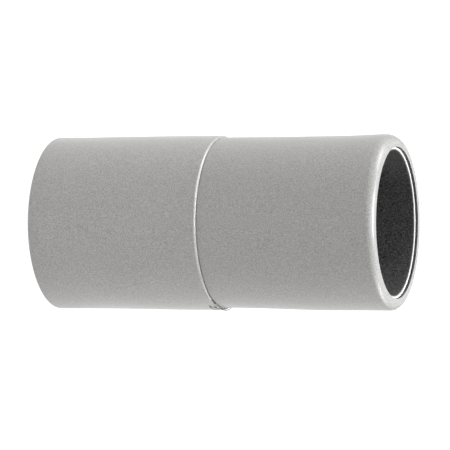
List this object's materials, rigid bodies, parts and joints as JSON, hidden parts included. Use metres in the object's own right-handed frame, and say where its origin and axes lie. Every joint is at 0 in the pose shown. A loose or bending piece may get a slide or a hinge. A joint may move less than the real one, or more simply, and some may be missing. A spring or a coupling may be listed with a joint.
{
  "type": "hose cuff",
  "caption": "Straight light grey hose cuff with a dark lined bore: a hose end sleeve and a tube end sleeve meet at a stepped seam on one thin inner tube.",
  "frame": {"origin": "centre of the hose end mouth, on the plane that the cuff stands on", "axes": "+Z along the bore axis, from the hose end mouth up to the tube end mouth; the bead of cement on the seam faces +X"},
  "size_m": [0.0624, 0.0622, 0.1273],
  "materials": {
    "sleeve_grey": "matt moulded vinyl, light warm grey, fine grain",
    "tube_light_grey": "satin rigid vinyl, pale grey",
    "lining_black": "matt black rubber, fine grain"
  },
  "bodies": {
    "root": {"hose_end_sleeve": "sleeve_grey", "tube_end_sleeve": "sleeve_grey", "inner_tube": "tube_light_grey", "bore_lining": "lining_black"}
  },
  "joints": []
}
